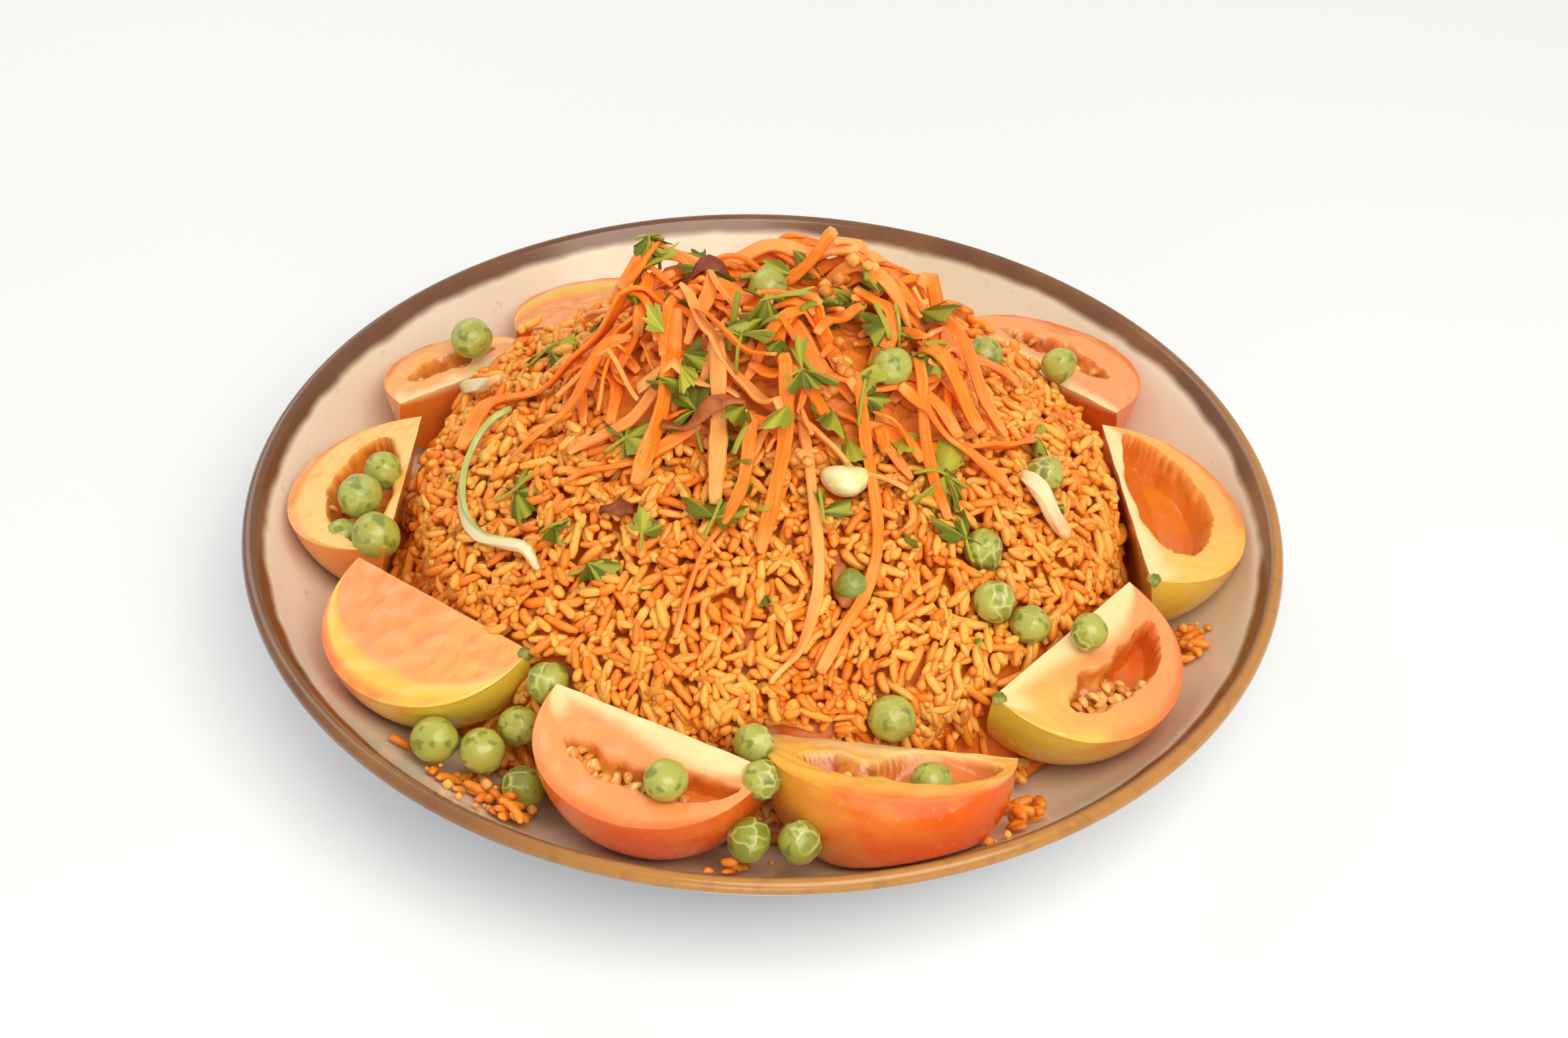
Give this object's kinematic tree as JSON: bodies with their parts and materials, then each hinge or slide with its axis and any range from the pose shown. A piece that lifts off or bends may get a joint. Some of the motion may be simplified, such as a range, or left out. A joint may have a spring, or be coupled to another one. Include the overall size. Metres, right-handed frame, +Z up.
{
  "type": "plate of tomato rice",
  "caption": "Round glazed plate with a mound of tomato rice, ringed with tomato wedges and topped with shredded carrot, peas and coriander.",
  "frame": {"origin": "middle of the plate's foot ring, on the surface it stands on", "axes": "+Z up, +X to the diner's right, +Y away from the diner"},
  "size_m": [0.23, 0.23, 0.0862],
  "materials": {
    "glaze": "gloss glaze",
    "rice": "moist",
    "carrot": "moist",
    "tomato": "wet",
    "pea": "satin",
    "pale": "moist"
  },
  "bodies": {
    "root": {"plate": "glaze", "rice": "rice", "carrot_nest": "carrot", "bean": "pale", "white_shred_left": "pale", "white_shred_right": "pale", "white_shred_back": "pale", "tomato_wedge_1": "tomato", "tomato_wedge_2": "tomato", "tomato_wedge_3": "tomato", "tomato_wedge_4": "tomato", "tomato_wedge_5": "tomato", "tomato_wedge_6": "tomato", "tomato_wedge_7": "tomato", "tomato_wedge_8": "tomato", "tomato_wedge_9": "tomato", "tomato_wedge_10": "tomato", "pea_1": "pea", "pea_2": "pea", "pea_3": "pea", "pea_4": "pea", "pea_5": "pea", "pea_6": "pea", "pea_7": "pea", "pea_8": "pea", "pea_9": "pea", "pea_10": "pea", "pea_11": "pea", "pea_12": "pea", "pea_13": "pea", "pea_14": "pea", "pea_15": "pea", "pea_16": "pea", "pea_17": "pea", "pea_18": "pea", "pea_19": "pea", "pea_20": "pea", "pea_21": "pea", "pea_22": "pea", "pea_23": "pea", "pea_24": "pea", "pea_25": "pea", "pea_26": "pea", "pea_27": "pea"}
  },
  "joints": []
}
